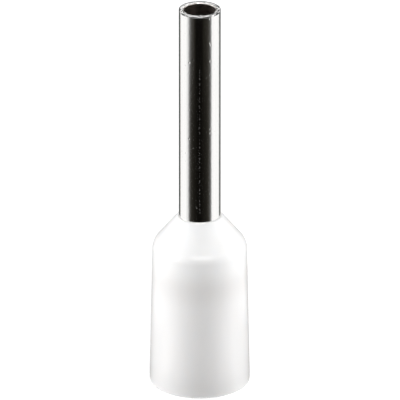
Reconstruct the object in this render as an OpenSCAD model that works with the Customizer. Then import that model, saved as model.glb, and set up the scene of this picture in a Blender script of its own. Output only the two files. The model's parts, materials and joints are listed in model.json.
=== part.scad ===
// Insulated wire ferrule: a tinned copper sleeve that is crimped on a stranded wire's end,
// held in a moulded collar that takes the wire's insulation.
// Millimetres. The origin is the centre of the collar's rim, and +Z points along the sleeve.

/* [Contact sleeve] */
// Inside diameter of the sleeve, which the bare strands fill
sleeve_bore = 1.18; // [1.00:0.02:1.50]
// Thickness of the sleeve's drawn copper wall
sleeve_wall = 0.16; // [0.10:0.01:0.20]
// Length of the sleeve that stands out of the collar's nose
pin_length = 8.0; // [6:0.5:12]
// Diameter across the open end of the funnel that gathers the strands
funnel_d = 2.5; // [2.2:0.05:2.6]
// Rounding of the edges at both ends of the sleeve
lip_radius = 0.04; // [0.01:0.01:0.05]

/* [Insulating collar] */
// Inside diameter of the chamber that takes the wire's insulation
chamber_d = 2.8; // [2.7:0.05:3.4]
// Length of the collar from its rim to its nose
collar_length = 6.44; // [4.5:0.01:9]
// Height of the cone between the shoulder and the nose
cone_height = 1.06; // [0.8:0.01:1.4]
// Thickness of the wall at the rim
rim_wall = 0.41; // [0.30:0.01:0.50]
// Thickness of the wall below the shoulder
shoulder_wall = 0.30; // [0.20:0.01:0.45]
// Thickness of the cone's wall, measured square to its faces
cone_wall = 0.30; // [0.20:0.01:0.38]
// Width of the flat ring round the sleeve at the nose
nose_ring = 0.065; // [0.04:0.005:0.15]

/* [Mouth] */
// Depth of the flare that leads the insulation into the chamber
mouth_depth = 0.9; // [0.4:0.1:1.5]
// How far the mouth's edge stands back from the chamber's wall
mouth_flare = 0.14; // [0.05:0.01:0.16]

/* [Roundings] */
// Rounding where the side turns into the cone
shoulder_radius = 0.6; // [0.2:0.05:0.8]
// Rounding of the rim's outer edge
rim_radius = 0.10; // [0.02:0.01:0.12]
// Rounding of the nose's outer edge
nose_radius = 0.03; // [0.01:0.005:0.03]
// Rounding of the collar's inner edge, which the sleeve bends over
bend_radius = 0.20; // [0.10:0.01:0.25]
// Rounding where the chamber's wall meets the inside of the cone
chamber_radius = 0.15; // [0.05:0.01:0.25]

/* [Fit] */
// Clearance between the sleeve and the collar, all round
seat_gap = 0.01; // [0.005:0.005:0.02]

/* [Smoothness] */
// Facets round the axis
round_facets = 72; // [36:12:96]
// Steps in each rounding of an outline
arc_steps = 6; // [3:1:8]

/* [Hidden] */

// Radii, from the axis outwards
bore_r = sleeve_bore / 2;
sleeve_r = bore_r + sleeve_wall;
passage_r = sleeve_r + seat_gap;
nose_r = passage_r + nose_ring;
funnel_r = funnel_d / 2;
chamber_r = chamber_d / 2;
mouth_r = chamber_r + mouth_flare;
shoulder_r = chamber_r + shoulder_wall;
rim_r = chamber_r + rim_wall;

// Heights above the rim, and the angle between the cone's side and the axis
shoulder_z = collar_length - cone_height;
tip_z = collar_length + pin_length;
cone_angle = atan((shoulder_r - nose_r) / cone_height);

// Depths below the cone's outer face of the sleeve's two faces, which run parallel to it
sleeve_depth = cone_wall + seat_gap;
bore_depth = sleeve_depth + sleeve_wall;

// Height, at radius r, of the face that runs parallel to the cone at a given depth below it
function cone_z(r, depth) = shoulder_z + (shoulder_r - r) / tan(cone_angle) - depth / sin(cone_angle);

// Point on the funnel's end face, which is cut square to its wall, a distance in from the outside
function funnel_end(inset) = [
    funnel_r - inset * cos(cone_angle),
    cone_z(funnel_r, sleeve_depth) - inset * sin(cone_angle)
];

function unit(v) = v / norm(v);

// Signed angle from vector a to vector b
function turn(a, b) = atan2(a.x * b.y - a.y * b.x, a * b);

// Points of the arc that rounds the corner at here, between the points before and after it
function corner_arc(before, here, after, radius) =
    let (
        back = unit(before - here),
        ahead = unit(after - here),
        half = acos(back * ahead) / 2,
        centre = here + unit(back + ahead) * radius / sin(half),
        first = here + back * radius / tan(half) - centre,
        last = here + ahead * radius / tan(half) - centre,
        start = atan2(first.y, first.x),
        sweep = turn(first, last)
    )
    [for (i = [0 : arc_steps])
        let (angle = start + sweep * i / arc_steps)
            centre + radius * [cos(angle), sin(angle)]];

// Closed outline from corners given as [point, rounding], where a rounding of 0 stays sharp
function rounded(corners) =
    let (n = len(corners))
    [for (i = [0 : n - 1])
        let (
            before = corners[(i + n - 1) % n][0],
            here = corners[i][0],
            after = corners[(i + 1) % n][0],
            radius = corners[i][1]
        )
            each radius == 0 ? [here] : corner_arc(before, here, after, radius)];

// Solid turned about the Z axis from an outline of [radius, height] points
module turned(outline)
{
    rotate_extrude($fn = round_facets)
        polygon(outline);
}

// One drawn tube. It is straight through the nose, with a rounded lip in front. Behind the nose
// it opens into a funnel that lies against the inside of the cone, with the same wall all along.
module contact_sleeve()
{
    outline = rounded([
        [[sleeve_r, tip_z], lip_radius],
        [[bore_r, tip_z], lip_radius],
        [[bore_r, cone_z(bore_r, bore_depth)], bend_radius + seat_gap + sleeve_wall],
        [funnel_end(sleeve_wall), lip_radius],
        [funnel_end(0), lip_radius],
        [[sleeve_r, cone_z(sleeve_r, sleeve_depth)], bend_radius + seat_gap]
    ]);
    color([0.80, 0.80, 0.78])
        turned(outline);
}

// One moulding. Outside, a slightly tapered side runs over a rounded shoulder into a cone.
// Inside, a flared mouth leads to the chamber, whose end carries the sleeve's funnel.
module insulating_collar()
{
    outline = rounded([
        [[mouth_r, 0], 0],
        [[rim_r, 0], rim_radius],
        [[shoulder_r, shoulder_z], shoulder_radius],
        [[nose_r, collar_length], nose_radius],
        [[passage_r, collar_length], 0],
        [[passage_r, cone_z(passage_r, cone_wall)], bend_radius],
        [[chamber_r, cone_z(chamber_r, cone_wall)], chamber_radius],
        [[chamber_r, mouth_depth], 0]
    ]);
    color([0.95, 0.95, 0.94])
        turned(outline);
}

contact_sleeve();
insulating_collar();
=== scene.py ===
# %% [markdown]
# # An insulated wire ferrule
#
# A wire ferrule finishes the end of a stranded wire. Its bright sleeve is a short tube of copper
# with a thin coat of tin, which is crimped on the bare strands. Its white collar is moulded in
# polypropylene and takes the wire's insulation. Both are turned shapes, so this lesson is about
# two things: pulling one ring of points round a section, and finding a finish for bright metal
# and for milky plastic on an object only 14 mm tall.
#
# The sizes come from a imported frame, so the first step is to load it. Everything is in metres.

import json
import math

import bmesh
import bpy
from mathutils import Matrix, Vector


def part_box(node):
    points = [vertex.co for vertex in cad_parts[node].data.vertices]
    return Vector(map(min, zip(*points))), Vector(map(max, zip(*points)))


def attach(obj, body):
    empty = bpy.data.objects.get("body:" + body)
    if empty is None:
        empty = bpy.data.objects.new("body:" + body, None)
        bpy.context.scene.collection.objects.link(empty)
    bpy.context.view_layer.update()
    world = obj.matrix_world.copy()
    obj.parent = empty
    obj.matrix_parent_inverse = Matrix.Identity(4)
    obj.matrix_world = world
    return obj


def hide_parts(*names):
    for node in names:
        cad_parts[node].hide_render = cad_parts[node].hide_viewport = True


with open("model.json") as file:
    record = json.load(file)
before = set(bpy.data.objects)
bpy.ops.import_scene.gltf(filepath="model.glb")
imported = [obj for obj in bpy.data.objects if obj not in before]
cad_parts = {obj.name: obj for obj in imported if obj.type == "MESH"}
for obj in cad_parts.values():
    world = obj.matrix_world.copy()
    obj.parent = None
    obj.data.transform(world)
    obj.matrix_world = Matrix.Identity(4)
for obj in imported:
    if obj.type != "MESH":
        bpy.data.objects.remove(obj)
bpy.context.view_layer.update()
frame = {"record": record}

# %% [markdown]
# ## Sizes
#
# The frame says where each piece is and how wide its round walls are, so those sizes are read
# and never typed again. What it doesn't say, such as the thickness of a wall inside the collar
# or the rounding of an edge, is a named value here, in millimetres turned into metres.

# %% Sizes that the frame gives
MM = 0.001
mounts = {mount["name"]: mount["dims"] for mount in frame["record"]["mounts"]}
sleeve_r = mounts["contact_pin"]["r_mm"] * MM
bore_r = mounts["conductor_bore"]["r_mm"] * MM
chamber_r = mounts["wire_entry"]["r_mm"] * MM
nose_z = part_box("insulating_collar")[1].z
tip_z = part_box("contact_sleeve")[1].z
print(f"The sleeve is {2 * sleeve_r / MM:.2f} mm across")
print(f"Its tip is at {tip_z / MM:.2f} mm and the nose at {nose_z / MM:.2f} mm")

# %% Sizes inside the collar
seat_gap = 0.01 * MM
nose_ring = 0.065 * MM
mouth_flare = 0.14 * MM
mouth_depth = 0.9 * MM
shoulder_wall = 0.30 * MM
rim_wall = 0.41 * MM
cone_wall = 0.30 * MM
cone_rise = 1.06 * MM
funnel_r = 1.25 * MM

sleeve_wall = sleeve_r - bore_r
passage_r = sleeve_r + seat_gap
nose_r = passage_r + nose_ring
mouth_r = chamber_r + mouth_flare
shoulder_r = chamber_r + shoulder_wall
rim_r = chamber_r + rim_wall
shoulder_z = nose_z - cone_rise
cone_angle = math.atan2(shoulder_r - nose_r, cone_rise)
print(f"The cone leans {math.degrees(cone_angle):.1f} degrees from the axis")

# %% [markdown]
# Three faces run parallel to the cone's outside: the cone's inside, and the two faces of the
# funnel at the sleeve's rear. One small function gives the height of such a face at any radius,
# so the walls stay even.

# %% Heights of the faces that run parallel to the cone
def cone_height(radius, depth):
    """Height at a radius of the face that lies a depth below the cone's outside."""
    along = (shoulder_r - radius) / math.tan(cone_angle)
    return shoulder_z + along - depth / math.sin(cone_angle)


def funnel_end(inset):
    """Corner of the funnel's end face, an inset away from the outside of its wall."""
    foot = cone_height(funnel_r, cone_wall + seat_gap)
    return funnel_r - inset * math.cos(cone_angle), foot - inset * math.sin(cone_angle)


print("The funnel ends at", [round(value / MM, 3) for value in funnel_end(0)], "mm")

# %% [markdown]
# ## Turned pieces
#
# A lathe or a mould makes a round piece from one section. It could be made here with the Spin
# tool, but a spin leaves a seam that has to be merged. This lesson starts from a circle instead
# and extrudes it round the section, one ring at a time, and the last ring is bridged to the
# first. Every ring stays a true circle, and each corner of the section is one loop of edges,
# which is just what the Bevel tool wants for the roundings.
#
# A section is a list of corners, each with its radius, its height and its rounding.

# %% Pull a ring round a section
RING_POINTS = 256


def pull_section(name, section):
    """Extrudes a circle from corner to corner and closes it into a ring-shaped shell."""
    radius, height, _ = section[0]
    bpy.ops.object.select_all(action="DESELECT")
    bpy.ops.mesh.primitive_circle_add(vertices=RING_POINTS, radius=radius, location=(0, 0, height))
    piece = bpy.context.object
    piece.name = name
    piece.data.name = name
    bpy.ops.object.transform_apply(location=True, rotation=True, scale=True)
    bpy.ops.object.mode_set(mode="EDIT")
    bpy.ops.mesh.select_all(action="SELECT")
    for next_radius, next_height, _ in section[1:]:
        rise = {"value": (0, 0, next_height - height)}
        grow = next_radius / radius
        bpy.ops.mesh.extrude_region_move(TRANSFORM_OT_translate=rise)
        bpy.ops.transform.resize(value=(grow, grow, 1), center_override=(0, 0, next_height))
        radius, height = next_radius, next_height
    bpy.ops.mesh.select_all(action="DESELECT")
    bpy.ops.mesh.select_non_manifold()
    bpy.ops.mesh.bridge_edge_loops()
    return piece


print("Each ring has", RING_POINTS, "points")

# %% [markdown]
# Bevel measures its offset along the faces, and a rounding is given by its radius. At a corner
# where the faces meet at an angle, the arc starts at the radius divided by the tangent of half
# that angle. The loop of edges is picked by its place, one corner after another.

# %% Round the corners of a section
RING_REACH = 0.0005 * MM
CUTS_PER_ROUNDING = 8


def angle_at(before, here, after):
    """Angle between the two sides that meet at a corner of a section."""
    back = math.atan2(before[1] - here[1], before[0] - here[0])
    ahead = math.atan2(after[1] - here[1], after[0] - here[0])
    turn = abs(back - ahead)
    return min(turn, 2 * math.pi - turn)


def pick_ring(piece, radius, height):
    """Selects the loop of edges that lies at one radius and one height."""
    bpy.ops.mesh.select_mode(type="EDGE")
    bpy.ops.mesh.select_all(action="DESELECT")
    mesh = bmesh.from_edit_mesh(piece.data)
    for edge in mesh.edges:
        edge.select_set(all(
            abs(vertex.co.z - height) < RING_REACH
            and abs(math.hypot(vertex.co.x, vertex.co.y) - radius) < RING_REACH
            for vertex in edge.verts
        ))
    bmesh.update_edit_mesh(piece.data)


def round_section(piece, section):
    """Bevels each corner of the section that has a rounding."""
    for index, (radius, height, rounding) in enumerate(section):
        if rounding == 0:
            continue
        after = section[(index + 1) % len(section)]
        half = angle_at(section[index - 1], section[index], after) / 2
        pick_ring(piece, radius, height)
        bpy.ops.mesh.bevel(
            offset=rounding / math.tan(half), offset_type="OFFSET",
            segments=CUTS_PER_ROUNDING, affect="EDGES", clamp_overlap=False,
        )


print("Each rounding has", CUTS_PER_ROUNDING, "cuts")

# %% [markdown]
# Smooth shading bends the light over every edge, so a long straight wall next to a small
# rounding would look bowed. Edges sharper than the given angle are marked sharp, and a Weighted
# Normal modifier lets the large faces decide for the rest. The box of the finished mesh is
# printed, because a piece must not grow past the solids.

# %% Close and shade a piece
SHARP_ANGLE = math.radians(35)


def finish_piece(piece):
    """Merges doubles, points the faces outwards and shades the piece."""
    bpy.ops.mesh.select_mode(type="VERT")
    bpy.ops.mesh.select_all(action="SELECT")
    bpy.ops.mesh.remove_doubles(threshold=RING_REACH)
    bpy.ops.mesh.normals_make_consistent(inside=False)
    bpy.ops.object.mode_set(mode="OBJECT")
    bpy.ops.object.shade_smooth_by_angle(angle=SHARP_ANGLE)
    bpy.ops.object.modifier_add(type="WEIGHTED_NORMAL")
    piece.modifiers[-1].keep_sharp = True
    bpy.ops.object.modifier_apply(modifier=piece.modifiers[-1].name)
    size = [round(value / MM, 3) for value in piece.dimensions]
    print(piece.name, "is", size, "mm with", len(piece.data.polygons), "faces")


print(f"Edges sharper than {math.degrees(SHARP_ANGLE):.0f} degrees stay sharp")

# %% [markdown]
# ## The contact sleeve
#
# The sleeve is a seamless copper tube, cut to length. Its front edge is a little rounded, so
# that it slides into a terminal. Behind the nose it is opened into a funnel, which lies against
# the inside of the collar and gathers the strands. The two roundings of the bend share one
# centre, so the wall is as thick in the bend as beside it.

# %% Contact sleeve
outer_rounding = 0.016 * MM
bore_rounding = 0.055 * MM
funnel_rounding = 0.04 * MM
bend_rounding = 0.20 * MM
funnel_depth = cone_wall + seat_gap
sleeve_section = [
    (sleeve_r, tip_z, outer_rounding),
    (bore_r, tip_z, bore_rounding),
    (bore_r, cone_height(bore_r, funnel_depth + sleeve_wall), bend_rounding + seat_gap + sleeve_wall),
    (*funnel_end(sleeve_wall), funnel_rounding),
    (*funnel_end(0), funnel_rounding),
    (sleeve_r, cone_height(sleeve_r, funnel_depth), bend_rounding + seat_gap),
]
sleeve = pull_section("tinned_sleeve", sleeve_section)
round_section(sleeve, sleeve_section)

# %% [markdown]
# The blade that parts the tube leaves small burrs on the edge of the bore. Each burr is a short
# stretch of that edge, picked by its direction from the axis and pushed inwards. The smallest
# push is a few thousandths of a millimetre, and only the burr in front also stands up a little.
# An uneven edge like this tells the eye that the metal is cut and not cast.

# %% Burrs on the cut edge
BURR_REACH = 0.040 * MM

# Direction and half width of each burr in degrees, then its push and lift in millimetres
BURRS = (
    (4, 2.6, 0.030, 0.018), (-14, 3.5, 0.012, 0), (-38, 5, 0.010, 0), (-64, 5, 0.030, 0),
    (-88, 7, 0.036, 0), (-118, 8, 0.034, 0), (-142, 6, 0.030, 0), (-163, 5, 0.010, 0),
    (172, 7, 0.006, 0), (141, 6, 0.030, 0), (112, 7, 0.024, 0), (76, 6, 0.022, 0),
    (47, 4, 0.012, 0), (26, 3, 0.004, 0),
)


def push_burr(piece, azimuth, half_width, inward, lift):
    """Pushes a stretch of the bore's edge inwards and up. Angles are in degrees."""
    bpy.ops.mesh.select_mode(type="VERT")
    bpy.ops.mesh.select_all(action="DESELECT")
    mesh = bmesh.from_edit_mesh(piece.data)
    for vertex in mesh.verts:
        across = math.degrees(math.atan2(vertex.co.x, -vertex.co.y)) - azimuth
        vertex.select_set(
            vertex.co.z > tip_z - BURR_REACH
            and math.hypot(vertex.co.x, vertex.co.y) < bore_r + BURR_REACH
            and abs((across + 180) % 360 - 180) < half_width
        )
    bmesh.update_edit_mesh(piece.data)
    around = math.radians(azimuth)
    push = (-math.sin(around) * inward, math.cos(around) * inward, lift)
    bpy.ops.transform.translate(value=push)


for azimuth, half_width, inward, lift in BURRS:
    push_burr(sleeve, azimuth, half_width, inward * MM, lift * MM)
finish_piece(sleeve)

# %% [markdown]
# ## The insulating collar
#
# The collar is one moulding. Its side leans in a little towards the shoulder, as it must to
# leave its mould, and a generous rounding leads over to the cone. The narrow flat ring of the
# nose holds the sleeve. At the mouth the inside flares out, so that the insulation finds its
# way in.

# %% Insulating collar
rim_rounding = 0.10 * MM
shoulder_rounding = 0.60 * MM
nose_rounding = 0.03 * MM
chamber_rounding = 0.15 * MM
collar_section = [
    (mouth_r, 0, 0),
    (rim_r, 0, rim_rounding),
    (shoulder_r, shoulder_z, shoulder_rounding),
    (nose_r, nose_z, nose_rounding),
    (passage_r, nose_z, 0),
    (passage_r, cone_height(passage_r, cone_wall), bend_rounding),
    (chamber_r, cone_height(chamber_r, cone_wall), chamber_rounding),
    (chamber_r, mouth_depth, 0),
]
collar = pull_section("moulded_collar", collar_section)
round_section(collar, collar_section)
finish_piece(collar)

# %% [markdown]
# ## Finishes
#
# Both finishes are made of nodes that read Object coordinates. Those are in metres, and a noise
# with features of a hundredth of a millimetre would need a scale of a hundred thousand, so a
# Mapping node turns them into millimetres first. Two effects are used by both materials: long
# streaks along the axis, and scattered specks. The tin needs a scored line twice. Each of the
# three is a node group, built once and placed wherever it is needed with its own numbers.

# %% Helpers for node trees
def add_node(tree, kind, **settings):
    """Adds a node and sets its properties."""
    node = tree.nodes.new(kind)
    for name, value in settings.items():
        setattr(node, name, value)
    return node


def new_group(name, inputs, outputs):
    """An empty node group with named number inputs and outputs, and a Position input."""
    tree = bpy.data.node_groups.new(name, "ShaderNodeTree")
    tree.interface.new_socket("Position", in_out="INPUT", socket_type="NodeSocketVector")
    for label, default in inputs.items():
        socket = tree.interface.new_socket(label, in_out="INPUT", socket_type="NodeSocketFloat")
        socket.default_value = default
    for label in outputs:
        tree.interface.new_socket(label, in_out="OUTPUT", socket_type="NodeSocketFloat")
    return tree, tree.nodes.new("NodeGroupInput"), tree.nodes.new("NodeGroupOutput")


def place_group(tree, group, position, **values):
    """Places a group in a material, with its own values for the group's inputs."""
    node = tree.nodes.new("ShaderNodeGroup")
    node.node_tree = group
    tree.links.new(position, node.inputs["Position"])
    for label, value in values.items():
        node.inputs[label.replace("_", " ")].default_value = value
    return node


def work_out(tree, operation, first, second=0, clamp=False):
    """The result of one Math node, whose operands are sockets or plain numbers."""
    node = add_node(tree, "ShaderNodeMath", operation=operation, use_clamp=clamp)
    for socket, operand in zip(node.inputs, (first, second)):
        if isinstance(operand, (int, float)):
            socket.default_value = operand
        else:
            tree.links.new(operand, socket)
    return node.outputs["Value"]


def climb(tree, value, start, slope):
    """Zero below the start, and from there a straight climb to one."""
    return work_out(tree, "MULTIPLY", work_out(tree, "SUBTRACT", value, start), slope, clamp=True)


print("Node helpers are ready")

# %% [markdown]
# ### Streaks
#
# A drawn tube has fine lines along its length, and a moulding has faint drag lines along the
# way it left the mould. Both are a noise that changes quickly round the axis and slowly along
# it, which is one noise with its Z coordinate squeezed.

# %% Streaks group
streaks, streaks_in, streaks_out = new_group(
    "streaks", {"Lines per mm": 20, "Squeeze": 0.02, "Detail": 3}, ["Value"],
)
streak_scale = add_node(streaks, "ShaderNodeCombineXYZ")
streak_scale.inputs["X"].default_value = 1
streak_scale.inputs["Y"].default_value = 1
streak_place = add_node(streaks, "ShaderNodeVectorMath", operation="MULTIPLY")
streak_noise = add_node(streaks, "ShaderNodeTexNoise")
streaks.links.new(streaks_in.outputs["Squeeze"], streak_scale.inputs["Z"])
streaks.links.new(streaks_in.outputs["Position"], streak_place.inputs[0])
streaks.links.new(streak_scale.outputs["Vector"], streak_place.inputs[1])
streaks.links.new(streak_place.outputs["Vector"], streak_noise.inputs["Vector"])
streaks.links.new(streaks_in.outputs["Lines per mm"], streak_noise.inputs["Scale"])
streaks.links.new(streaks_in.outputs["Detail"], streak_noise.inputs["Detail"])
streaks.links.new(streak_noise.outputs["Fac"], streaks_out.inputs["Value"])
print("Built the group", streaks.name)

# %% [markdown]
# ### Specks
#
# Tin has small pits and grains, and moulded plastic holds a few specks of dust. Voronoi cells
# give each speck its place. A random number per cell, taken from its colour, decides which
# cells have one, and the distance to the cell's centre makes the speck round.

# %% Specks group
specks, specks_in, specks_out = new_group(
    "specks", {"Cells per mm": 10, "Share": 0.1, "Radius": 0.25}, ["Mask"],
)
speck_cells = add_node(specks, "ShaderNodeTexVoronoi")
speck_number = add_node(specks, "ShaderNodeSeparateColor")
specks.links.new(specks_in.outputs["Position"], speck_cells.inputs["Vector"])
specks.links.new(specks_in.outputs["Cells per mm"], speck_cells.inputs["Scale"])
specks.links.new(speck_cells.outputs["Color"], speck_number.inputs["Color"])
chosen = work_out(specks, "LESS_THAN", speck_number.outputs["Red"], specks_in.outputs["Share"])
part_way = work_out(specks, "DIVIDE", speck_cells.outputs["Distance"], specks_in.outputs["Radius"])
fading = work_out(specks, "SUBTRACT", 1, part_way, clamp=True)
specks.links.new(work_out(specks, "MULTIPLY", chosen, fading), specks_out.inputs["Mask"])
print("Built the group", specks.name)

# %% [markdown]
# ### Scored line
#
# A hard grain in the drawing die scores a line along the tube. The line is thin, it starts and
# stops, and a noise along its length breaks it up. The same group draws each line, on the
# front or on the back, so it takes the side as a number: -1 for the front and 1 for the back.

# %% Scored line group
scored, scored_in, scored_out = new_group(
    "scored_line",
    {"Side": -1, "Place": 0, "Half width": 0.03, "Bottom": 0, "Top": 1, "Breaks per mm": 5},
    ["Mask"],
)
scored_axes = add_node(scored, "ShaderNodeSeparateXYZ")
scored_breaks = add_node(scored, "ShaderNodeTexNoise", noise_dimensions="1D")
scored_x, scored_y, scored_z = scored_axes.outputs
scored.links.new(scored_in.outputs["Position"], scored_axes.inputs["Vector"])
scored.links.new(scored_z, scored_breaks.inputs["W"])
scored.links.new(scored_in.outputs["Breaks per mm"], scored_breaks.inputs["Scale"])
beside = work_out(scored, "SUBTRACT", scored_x, scored_in.outputs["Place"])
beside = work_out(scored, "ABSOLUTE", beside)
beside = work_out(scored, "DIVIDE", beside, scored_in.outputs["Half width"])
on_side = work_out(scored, "MULTIPLY", scored_y, scored_in.outputs["Side"])
mask = climb(scored, scored_breaks.outputs["Fac"], start=0.47, slope=9)
for condition in (
    work_out(scored, "SUBTRACT", 1, beside, clamp=True),
    work_out(scored, "GREATER_THAN", on_side, 0),
    work_out(scored, "GREATER_THAN", scored_z, scored_in.outputs["Bottom"]),
    work_out(scored, "LESS_THAN", scored_z, scored_in.outputs["Top"]),
):
    mask = work_out(scored, "MULTIPLY", mask, condition)
scored.links.new(mask, scored_out.inputs["Mask"])
print("Built the group", scored.name)

# %% [markdown]
# A material starts with its Principled shader and with the position in millimetres. What is the
# same all over the surface, such as the index of refraction, is set on the shader itself.

# %% Start a material
def new_material(name):
    """A material with its tree, its Principled shader and the position in millimetres."""
    material = bpy.data.materials.new(name)
    material.use_nodes = True
    tree = material.node_tree
    shader = tree.nodes["Principled BSDF"]
    place = add_node(tree, "ShaderNodeTexCoord")
    millimetres = add_node(tree, "ShaderNodeMapping")
    millimetres.inputs["Scale"].default_value = (1 / MM, 1 / MM, 1 / MM)
    tree.links.new(place.outputs["Object"], millimetres.inputs["Vector"])
    return material, tree, shader, millimetres.outputs["Vector"]


def blend_colours(tree, factor, low, high):
    """Mixes two colours, each a socket or plain numbers, by a factor that varies."""
    mix = add_node(tree, "ShaderNodeMix", data_type="RGBA")
    tree.links.new(factor, mix.inputs["Factor"])
    for label, colour in (("A", low), ("B", high)):
        if isinstance(colour, tuple):
            mix.inputs[label].default_value = (*colour, 1)
        else:
            tree.links.new(colour, mix.inputs[label])
    return mix.outputs["Result"]


def colour_ramp(tree, factor, stops, interpolation="LINEAR"):
    """A colour ramp with its stops in order, each with a position and a colour."""
    ramp = add_node(tree, "ShaderNodeValToRGB")
    ramp.color_ramp.interpolation = interpolation
    for _ in stops[2:]:
        ramp.color_ramp.elements.new(0.5)
    for element, (position, colour) in zip(ramp.color_ramp.elements, stops):
        element.position = position
        element.color = (*colour, 1)
    tree.links.new(factor, ramp.inputs["Fac"])
    return ramp.outputs["Color"]


def spread(tree, factor, low, high):
    """Maps a value between 0 and 1 to a range of another value."""
    remap = add_node(tree, "ShaderNodeMapRange")
    remap.inputs["To Min"].default_value = low
    remap.inputs["To Max"].default_value = high
    tree.links.new(factor, remap.inputs["Value"])
    return remap.outputs["Result"]


def add_bump(tree, height, depth, below=None):
    """A Bump node of a given depth in metres, on top of another normal if there is one."""
    bump = add_node(tree, "ShaderNodeBump")
    bump.inputs["Distance"].default_value = depth
    tree.links.new(height, bump.inputs["Height"])
    if below:
        tree.links.new(below, bump.inputs["Normal"])
    return bump.outputs["Normal"]


print("Material helpers are ready")

# %% [markdown]
# ### Bright tin
#
# Tin on drawn copper is a clean mirror with a faint warm tint. Streaks give it the drawing
# lines. A fine grain and some pits break the edges of the reflections into small dots, and the
# scored lines scatter enough light to show as a row of grey dots in a dark reflection. The
# distance from the axis is worked out here too, because the cut end needs it.

# %% Tinned copper
tin, tin_tree, tin_shader, tin_place = new_material("bright_tin")
tin_shader.inputs["Metallic"].default_value = 1
drawn = place_group(tin_tree, streaks, tin_place, Lines_per_mm=16, Squeeze=0.015, Detail=4)
grain = place_group(tin_tree, streaks, tin_place, Lines_per_mm=11, Squeeze=0.8, Detail=3)
pits = place_group(tin_tree, specks, tin_place, Cells_per_mm=8, Share=0.14, Radius=0.32)
front_line = place_group(
    tin_tree, scored, tin_place,
    Side=-1, Place=-0.005, Half_width=0.032, Bottom=6.9, Top=12.4, Breaks_per_mm=9,
)
rear_line = place_group(
    tin_tree, scored, tin_place,
    Side=1, Place=0.28, Half_width=0.04, Bottom=8.2, Top=13.6, Breaks_per_mm=4,
)
tin_axes = add_node(tin_tree, "ShaderNodeSeparateXYZ")
tin_tree.links.new(tin_place, tin_axes.inputs["Vector"])
tin_x, tin_y, tin_z = tin_axes.outputs
tin_radius = work_out(
    tin_tree, "ADD",
    work_out(tin_tree, "MULTIPLY", tin_x, tin_x),
    work_out(tin_tree, "MULTIPLY", tin_y, tin_y),
)
tin_radius = work_out(tin_tree, "SQRT", tin_radius)
print("Placed the streaks, the grain, the pits and two scored lines of", tin.name)

# %% [markdown]
# The end of the tube is sheared, so it isn't as clean as the drawn side. Three masks, which are zero
# everywhere else, describe it. The first is a noise drawn out round the rim, for the steps that the
# blade leaves. The second turns the high spots of that noise into dark spots. The third is painted
# shade: a dark line along the outer edge, wider at the back. Inside the bore the tin's colour is
# painted darker, as shade in the hollow, and a little coppery, and one side of it is rougher.

# %% Cut end and bore
CUT_END = tip_z / MM - 0.06
BORE_EDGE = bore_r / MM + 0.006
# Where the painted shade along the outer edge starts, how it leans to the back and how it wavers
EDGE_SHADE_START = sleeve_r / MM - 0.054
EDGE_SHADE_LEAN = 0.05
EDGE_SHADE_WAVE = 0.30
SPOT_LEAN = 0.05
RIM_STRETCH = (5, 5, 20)

cut_place = add_node(tin_tree, "ShaderNodeCombineXYZ")
cut_noise = add_node(tin_tree, "ShaderNodeTexNoise")
cut_noise.inputs["Scale"].default_value = 1
cut_noise.inputs["Detail"].default_value = 3
for socket, place, stretch in zip(cut_place.inputs, (tin_x, tin_y, tin_radius), RIM_STRETCH):
    tin_tree.links.new(work_out(tin_tree, "MULTIPLY", place, stretch), socket)
tin_tree.links.new(cut_place.outputs["Vector"], cut_noise.inputs["Vector"])
rim_noise = cut_noise.outputs["Fac"]
on_end = work_out(tin_tree, "GREATER_THAN", tin_z, CUT_END)
inside = work_out(tin_tree, "LESS_THAN", tin_radius, BORE_EDGE)

steps = work_out(tin_tree, "MULTIPLY", rim_noise, on_end)

# Dark spots where the rim noise is high, more of them to the right
to_the_right = work_out(tin_tree, "MULTIPLY", tin_x, SPOT_LEAN)
dark_spots = work_out(tin_tree, "ADD", rim_noise, to_the_right)
dark_spots = climb(tin_tree, dark_spots, start=0.52, slope=22)
dark_spots = work_out(tin_tree, "MULTIPLY", dark_spots, on_end)

# Painted shade: a dark line along the outer edge of the cut end, wider at the back
uneven = work_out(tin_tree, "SUBTRACT", rim_noise, 0.5)
uneven = work_out(tin_tree, "MULTIPLY", uneven, EDGE_SHADE_WAVE)
to_the_back = work_out(tin_tree, "MULTIPLY", tin_y, EDGE_SHADE_LEAN)
painted_edge_shade = work_out(tin_tree, "ADD", tin_radius, uneven)
painted_edge_shade = work_out(tin_tree, "ADD", painted_edge_shade, to_the_back)
painted_edge_shade = climb(tin_tree, painted_edge_shade, start=EDGE_SHADE_START, slope=60)
off_the_front = climb(tin_tree, tin_y, start=-0.66, slope=6)
painted_edge_shade = work_out(tin_tree, "MULTIPLY", painted_edge_shade, off_the_front)
painted_edge_shade = work_out(tin_tree, "MULTIPLY", painted_edge_shade, on_end)

rough_side = climb(tin_tree, tin_x, start=0.28, slope=4)
rough_side = work_out(tin_tree, "MULTIPLY", rough_side, inside)
print(f"The cut end starts at {CUT_END:.2f} mm")

# %% [markdown]
# Now the masks and noises meet in the sockets of the shader: colour, roughness and four bumps,
# one on top of the other. A bump is as deep as the mark is on the real tube, which is a few
# thousandths of a millimetre.

# %% Tin sockets
TIN_DARK, TIN_LIGHT = (0.85, 0.84, 0.825), (0.92, 0.915, 0.90)
# The bore's colours are painted darker than the tin outside, as shade in the hollow, and a little
# coppery
BORE_DARK, BORE_LIGHT = (0.54, 0.52, 0.50), (0.74, 0.67, 0.63)
# The dark colour of the spots and of the painted shade along the outer edge
SPOT_AND_SHADE_DARK = (0.10, 0.10, 0.098)
SPOT_SHARE = 0.75

lines = work_out(tin_tree, "ADD", front_line.outputs["Mask"], rear_line.outputs["Mask"], clamp=True)
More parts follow.
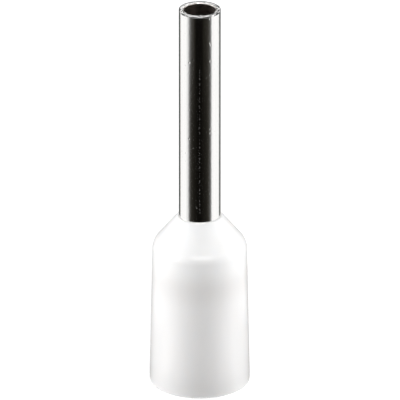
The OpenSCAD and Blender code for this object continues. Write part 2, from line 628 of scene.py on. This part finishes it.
# The cut end's colour takes the dark spots and the painted edge shade
spots_and_edge_shade = work_out(tin_tree, "MULTIPLY", dark_spots, SPOT_SHARE)
spots_and_edge_shade = work_out(tin_tree, "MAXIMUM", spots_and_edge_shade, painted_edge_shade)
tin_colour = blend_colours(tin_tree, drawn.outputs["Value"], TIN_DARK, TIN_LIGHT)
tin_colour = blend_colours(tin_tree, spots_and_edge_shade, tin_colour, SPOT_AND_SHADE_DARK)
# Painted shade in the bore
bore_colour_and_shade = blend_colours(tin_tree, grain.outputs["Value"], BORE_DARK, BORE_LIGHT)
tin_colour = blend_colours(tin_tree, inside, tin_colour, bore_colour_and_shade)

tin_rough = spread(tin_tree, drawn.outputs["Value"], low=0.09, high=0.15)
for mask, extra in ((lines, 0.24), (on_end, 0.10), (rough_side, 0.14)):
    tin_rough = work_out(tin_tree, "ADD", tin_rough, work_out(tin_tree, "MULTIPLY", mask, extra))

tin_normal = None
for height, depth in (
    (drawn.outputs["Value"], 0.0006), (grain.outputs["Value"], 0.0018),
    (pits.outputs["Mask"], -0.0070), (steps, 0.012),
):
    tin_normal = add_bump(tin_tree, height, depth * MM, tin_normal)

tin_tree.links.new(tin_colour, tin_shader.inputs["Base Color"])
tin_tree.links.new(tin_rough, tin_shader.inputs["Roughness"])
tin_tree.links.new(tin_normal, tin_shader.inputs["Normal"])
sleeve.data.materials.append(tin)
print("Finished", tin.name)

# %% [markdown]
# ### Milky plastic
#
# White polypropylene lets a little light into its wall, which softens every shade on it. That is
# subsurface scattering, and its distance is part of a millimetre. The skin is smooth with a soft
# gloss, faint drag lines and the odd speck. The nose is solid and looks pure white. Below it the wall
# is thin, and its colour is painted darker for the hollow behind it: a soft grey of painted shade,
# darkest just under the shoulder. A colour ramp along the height gives the white and the painted
# shade, so the hollow needs no extra light paths.

# %% White polypropylene
# Heights in millimetres, each with the wall's colour there: white at the nose, painted shade below it
WALL_WHITE_AND_PAINTED_SHADE = (
    (3.3, (0.861, 0.853, 0.850)),
    (4.15, (0.821, 0.811, 0.804)),
    (5.1, (0.940, 0.937, 0.934)),
)

plastic, plastic_tree, plastic_shader, plastic_place = new_material("milky_plastic")
plastic_shader.inputs["IOR"].default_value = 1.49
plastic_shader.inputs["Subsurface Weight"].default_value = 0.6
plastic_shader.inputs["Subsurface Radius"].default_value = (1, 0.95, 0.9)
plastic_shader.inputs["Subsurface Scale"].default_value = 0.22 * MM
cloud = place_group(plastic_tree, streaks, plastic_place, Lines_per_mm=1.2, Squeeze=1, Detail=2)
drag = place_group(plastic_tree, streaks, plastic_place, Lines_per_mm=9, Squeeze=0.05, Detail=2)
dust = place_group(plastic_tree, specks, plastic_place, Cells_per_mm=3, Share=0.03, Radius=0.06)

plastic_axes = add_node(plastic_tree, "ShaderNodeSeparateXYZ")
plastic_tree.links.new(plastic_place, plastic_axes.inputs["Vector"])
share_of_height = work_out(plastic_tree, "DIVIDE", plastic_axes.outputs["Z"], nose_z / MM)
white_and_shade_stops = [(height * MM / nose_z, colour) for height, colour in WALL_WHITE_AND_PAINTED_SHADE]
# The ramp paints shade on the wall below the shoulder, darkest just under it
plastic_colour_and_painted_shade = colour_ramp(plastic_tree, share_of_height, white_and_shade_stops, interpolation="EASE")

plastic_rough = spread(plastic_tree, cloud.outputs["Value"], low=0.20, high=0.28)
plastic_normal = add_bump(plastic_tree, drag.outputs["Value"], depth=0.0008 * MM)
plastic_normal = add_bump(plastic_tree, dust.outputs["Mask"], depth=0.002 * MM, below=plastic_normal)
plastic_tree.links.new(plastic_colour_and_painted_shade, plastic_shader.inputs["Base Color"])
plastic_tree.links.new(plastic_rough, plastic_shader.inputs["Roughness"])
plastic_tree.links.new(plastic_normal, plastic_shader.inputs["Normal"])
collar.data.materials.append(plastic)
print("Finished", plastic.name)

# %% [markdown]
# ## Put the pieces in the frame
#
# Each piece stands for one solid of the frame, whose own mesh is hidden, and rides on the frame's
# only body.

# %% Ride on the body and replace the frame's solids
for piece, node, slot in (
    (sleeve, "contact_sleeve", "tinned_copper"),
    (collar, "insulating_collar", "white_polypropylene"),
):
    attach(piece, "root")
    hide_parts(node)
    print(piece.name, "stands for", node)

# %% [markdown]
# ## Floor and background
#
# The floor is a plain pale sheet. A camera ray also gets a little of the floor's own light, so
# that the open floor is white and the object's soft shadow stays on it. Glossy and transmitted
# rays get the same, so the bright metal shows the floor that the eye sees.

# %% Share of rays that see the background
def seen_directly(tree):
    """One for camera, glossy and transmitted rays, and zero for the rest."""
    path = add_node(tree, "ShaderNodeLightPath").outputs
    seen = work_out(tree, "ADD", path["Is Camera Ray"], path["Is Glossy Ray"], clamp=True)
    return work_out(tree, "ADD", seen, path["Is Transmission Ray"], clamp=True)


print("Helper for the backdrop is ready")

# %% Floor
FLOOR_HALF = 3.0
FLOOR_GREY = 0.80
FLOOR_LIFT = 0.40
bpy.ops.object.select_all(action="DESELECT")
bpy.ops.mesh.primitive_plane_add(size=2 * FLOOR_HALF, location=(0, 0, 0))
floor = bpy.context.object
floor.name = "floor"
floor_paint = bpy.data.materials.new("pale_floor")
floor_paint.use_nodes = True
floor_tree = floor_paint.node_tree
floor_shader = floor_tree.nodes["Principled BSDF"]
floor_shader.inputs["Base Color"].default_value = (FLOOR_GREY, FLOOR_GREY, FLOOR_GREY, 1)
floor_shader.inputs["Roughness"].default_value = 1
floor_shader.inputs["Specular IOR Level"].default_value = 0
floor_shader.inputs["Emission Color"].default_value = (1, 1, 1, 1)
floor_lift = work_out(floor_tree, "MULTIPLY", seen_directly(floor_tree), FLOOR_LIFT)
floor_tree.links.new(floor_lift, floor_shader.inputs["Emission Strength"])
floor.data.materials.append(floor_paint)
print("Laid the floor")

# %% [markdown]
# The world works the same way. As a backdrop it is plain white, and as a light it is a dim room,
# so the white behind the object costs it no contrast.

# %% World
ROOM_LIGHT = 0.50
world = bpy.data.worlds.new("studio")
world.use_nodes = True
bpy.context.scene.world = world
world_tree = world.node_tree
room = world_tree.nodes["Background"]
room.inputs["Color"].default_value = (1, 1, 1, 1)
room.inputs["Strength"].default_value = ROOM_LIGHT
backdrop = add_node(world_tree, "ShaderNodeBackground")
backdrop.inputs["Color"].default_value = (1, 1, 1, 1)
backdrop.inputs["Strength"].default_value = 1
choose = add_node(world_tree, "ShaderNodeMixShader")
world_tree.links.new(seen_directly(world_tree), choose.inputs["Fac"])
world_tree.links.new(room.outputs["Background"], choose.inputs[1])
world_tree.links.new(backdrop.outputs["Background"], choose.inputs[2])
world_tree.links.new(choose.outputs["Shader"], world_tree.nodes["World Output"].inputs["Surface"])
print("Lit the room at", ROOM_LIGHT)

# %% [markdown]
# ## Lamps
#
# A broad soft box in front and above gives the level. A narrow box stands at each side, a hair
# behind the object, with a small fill beside the left one. They only graze the front, so a white
# cylinder is brightest at its flanks and darker in the middle, which is what shows that it is
# round. A lamp's power is worked out from the light that it should give.

# %% Soft boxes
LAMP_REACH = 0.5


def soft_box(name, azimuth, elevation, share, size):
    """An area lamp aimed at the object, which lights a surface facing it by a share of white."""
    middle = tip_z / 2
    around, up = math.radians(azimuth), math.radians(elevation)
    away = (
        math.sin(around) * math.cos(up) * LAMP_REACH,
        -math.cos(around) * math.cos(up) * LAMP_REACH,
        math.sin(up) * LAMP_REACH + middle,
    )
    bpy.ops.object.light_add(type="AREA", location=away)
    lamp = bpy.context.object
    lamp.name = name
    lamp.rotation_euler = (math.pi / 2 - up, 0, around)
    lamp.data.shape = "RECTANGLE"
    lamp.data.size, lamp.data.size_y = size
    lamp.data.energy = share * math.pi ** 2 * LAMP_REACH ** 2
    lamp.visible_camera = False
    print(name, "gives", round(lamp.data.energy, 3), "watts")


soft_box("front_box", azimuth=5, elevation=30, share=0.48, size=(0.4, 0.2))
soft_box("left_box", azimuth=-93, elevation=10, share=0.49, size=(0.18, 0.20))
soft_box("left_fill", azimuth=-62, elevation=10, share=0.15, size=(0.16, 0.16))
soft_box("right_box", azimuth=97, elevation=10, share=0.57, size=(0.18, 0.20))

# %% [markdown]
# ## Black flags
#
# A bright tube in an all-white room is white on white. A studio has black cards for this, called
# flags, which are set up where the tube should look dark. Here one lies in front of the object
# and one behind it, and each turns up at its far end. A flag is a slice of a ring around the
# axis, so its reflection is a straight band all along the tube. The camera doesn't see the flags,
# and light on its way up from the floor passes through them, so the floor stays white.
#
# A flag's grey is light that it gives off, and it changes with the direction from the object. A
# Gradient Texture set to radial gives that direction as a number from 0 to 1, and a colour ramp turns
# it into a grey.
# It also changes with the distance. A high part of the object sees the floor further out than a
# low part, so rings of different greys reach the collar, the lower tube and the upper tube one
# by one. The dark greys are a little warm, as black card is.

# %% Helpers for flags
FLAG_HEIGHT = 0.02 * MM
FLAG_START = 1.9 * MM
FLAG_REACH = 0.3
FLAG_STEPS = 24
CARD_WARMTH = 0.24
WARM_BELOW = 0.1


def glow_ramp(tree, direction, stops):
    """The grey that the card glows with in each direction, in degrees from the front. The darkest
    greys turn warm.
    """
    coloured = []
    for degrees, card_glow in stops:
        warmth = CARD_WARMTH * max(0, 1 - card_glow / WARM_BELOW)
        colour = (card_glow * (1 + warmth / 2), card_glow, card_glow * (1 - warmth))
        coloured.append((0.5 + degrees / 360, colour))
    return colour_ramp(tree, direction, coloured)


def card_material(name, rings):
    """A one-sided card that glows with its greys, some brighter than white. Each ring has the
    distances where it fades in, and its own greys.
    """
    card = bpy.data.materials.new(name)
    card.use_nodes = True
    tree = card.node_tree
    shader = tree.nodes["Principled BSDF"]
    shader.inputs["Base Color"].default_value = (0, 0, 0, 1)
    shader.inputs["Specular IOR Level"].default_value = 0
    shader.inputs["Emission Strength"].default_value = 1
    place = add_node(tree, "ShaderNodeTexCoord")
    turn = add_node(tree, "ShaderNodeMapping")
    turn.inputs["Rotation"].default_value = (0, 0, math.pi / 2)
    direction = add_node(tree, "ShaderNodeTexGradient", gradient_type="RADIAL")
    reach = add_node(tree, "ShaderNodeVectorMath", operation="LENGTH")
    tree.links.new(place.outputs["Object"], turn.inputs["Vector"])
    tree.links.new(turn.outputs["Vector"], direction.inputs["Vector"])
    tree.links.new(place.outputs["Object"], reach.inputs[0])
    card_glow = None
    for start, end, stops in rings:
        ring_glow = glow_ramp(tree, direction.outputs["Fac"], stops)
        if card_glow is None:
            card_glow = ring_glow
            continue
        fade = add_node(tree, "ShaderNodeMapRange", interpolation_type="SMOOTHSTEP")
        fade.inputs["From Min"].default_value = start * MM
        fade.inputs["From Max"].default_value = end * MM
        tree.links.new(reach.outputs["Value"], fade.inputs["Value"])
        card_glow = blend_colours(tree, fade.outputs["Result"], card_glow, ring_glow)
    side = add_node(tree, "ShaderNodeNewGeometry")
    clear = add_node(tree, "ShaderNodeBsdfTransparent")
    choose_side = add_node(tree, "ShaderNodeMixShader")
    # The greys go to the emission, so the card glows with them
    tree.links.new(card_glow, shader.inputs["Emission Color"])
    tree.links.new(side.outputs["Backfacing"], choose_side.inputs["Fac"])
    tree.links.new(shader.outputs["BSDF"], choose_side.inputs[1])
    tree.links.new(clear.outputs["BSDF"], choose_side.inputs[2])
    tree.links.new(choose_side.outputs["Shader"], tree.nodes["Material Output"].inputs["Surface"])
    return card


def place_flag(name, first, last, stand, material):
    """Sweeps the side view of a card, which lies and then stands, about the axis."""
    bpy.ops.object.select_all(action="DESELECT")
    bpy.ops.mesh.primitive_plane_add(size=1 * MM, location=(0, 0, 0))
    flag = bpy.context.object
    flag.name = name
    bpy.ops.object.mode_set(mode="EDIT")
    bpy.ops.mesh.select_all(action="SELECT")
    bpy.ops.mesh.merge(type="CENTER")
    bpy.ops.transform.translate(value=(0, -FLAG_START, FLAG_HEIGHT))
    bpy.ops.mesh.extrude_region_move(TRANSFORM_OT_translate={"value": (0, -FLAG_REACH, 0)})
    bpy.ops.mesh.extrude_region_move(TRANSFORM_OT_translate={"value": (0, 0, stand)})
    bpy.ops.mesh.select_all(action="SELECT")
    bpy.ops.transform.rotate(value=-math.radians(first), orient_axis="Z", center_override=(0, 0, 0))
    sweep = -math.radians(last - first)
    bpy.ops.mesh.spin(steps=FLAG_STEPS, angle=sweep, center=(0, 0, 0), axis=(0, 0, 1))
    bpy.ops.object.mode_set(mode="OBJECT")
    flag.data.materials.append(material)
    flag.visible_camera = False
    flag.visible_shadow = False
    print(name, "runs from", first, "to", last, "degrees")


print("Each flag reaches", FLAG_REACH, "m out")

# %% [markdown]
# The front flag glows nearly black in the middle and clears to white at both ends, which gives the
# tube its dark heart and its bright flanks. Close to the object it is paler, and at its sides it
# glows brighter than white, which lights the collar and keeps it white. The rear flag glows white
# where the flanks see it and is dark right behind the object: that draws the thin line along both
# edges of the tube and of the collar.

# %% Flags
# Each ring has the two distances in millimetres between which it fades in, and then its greys, the
# light that the card gives off, each after its direction in degrees from the front
front_card = card_material("front_card", [
    (0, 0, [
        (-92, 0.14), (-60, 0.40), (-40, 0.20), (-20, 0.010), (20, 0.010), (40, 0.20),
        (60, 0.40), (92, 0.14),
    ]),
    (2.5, 4, [
        (-92, 1.4), (-80, 1.35), (-62, 1.2), (-48, 0.80), (-34, 0.34), (-20, 0.20), (20, 0.20),
        (34, 0.34), (48, 0.80), (62, 1.2), (92, 1.4),
    ]),
    (8, 12, [
        (-82, 1.08), (-77, 1.02), (-71, 0.93), (-64.5, 0.66), (-60, 0.30), (-54.5, 0.085),
        (-47, 0.028), (-36, 0.012), (-20, 0.006), (-10, 0.003), (8, 0.003), (20, 0.008),
        (36, 0.012), (46, 0.030), (54, 0.070), (61, 0.18), (66, 0.65), (69, 1.05), (92, 1.10),
    ]),
    (31, 46, [
        (-82, 1.08), (-77, 1.03), (-71, 0.95), (-64.5, 0.70), (-60, 0.44), (-54.5, 0.20),
        (-47, 0.085), (-40, 0.055), (-34, 0.042), (-26, 0.012), (-18, 0.003), (12, 0.003),
        (18, 0.012), (30, 0.018), (42, 0.030), (52, 0.060), (61, 0.17), (66, 0.65),
        (69, 1.05), (92, 1.10),
    ]),
])
place_flag("front_flag", first=-80, last=80, stand=0.08, material=front_card)

rear_card = card_material("rear_card", [
    (0, 0, [(-180, 0.12), (180, 0.12)]),
    (6, 9, [
        (-180, 0.12), (-131.5, 0.12), (-130.5, 0.90), (-118, 1.08), (-80, 1.10), (80, 1.10),
        (118, 1.08), (130.5, 0.95), (131.5, 0.12), (180, 0.12),
    ]),
])
place_flag("rear_flag", first=80, last=280, stand=0.105, material=rear_card)

# %% [markdown]
# ## Camera
#
# The camera looks down on the ferrule by a good quarter of a right angle, through a very long
# lens, so the tube's sides stay parallel. Its distance follows from how much it should take in.
# It is aimed at the middle of the height, a hair to one side of the axis.

# %% Camera
LENS = 1200
VIEW_WIDTH = 14.36 * MM
LOOK_DOWN = math.radians(23.2)
AIM = 7.025 * MM
AXIS_SHIFT = 0.010 * MM
camera_data = bpy.data.cameras.new("long_lens")
camera = bpy.data.objects.new("camera", camera_data)
bpy.context.scene.collection.objects.link(camera)
camera_data.lens = LENS
distance = VIEW_WIDTH * LENS / camera_data.sensor_width
camera.location = (AXIS_SHIFT, -distance * math.cos(LOOK_DOWN), AIM + distance * math.sin(LOOK_DOWN))
camera.rotation_euler = (math.pi / 2 - LOOK_DOWN, 0, 0)
camera_data.clip_start = distance / 100
camera_data.clip_end = distance * 100
bpy.context.scene.camera = camera
bpy.context.scene.view_settings.view_transform = "Standard"
print(f"The camera is {distance:.3f} m away")
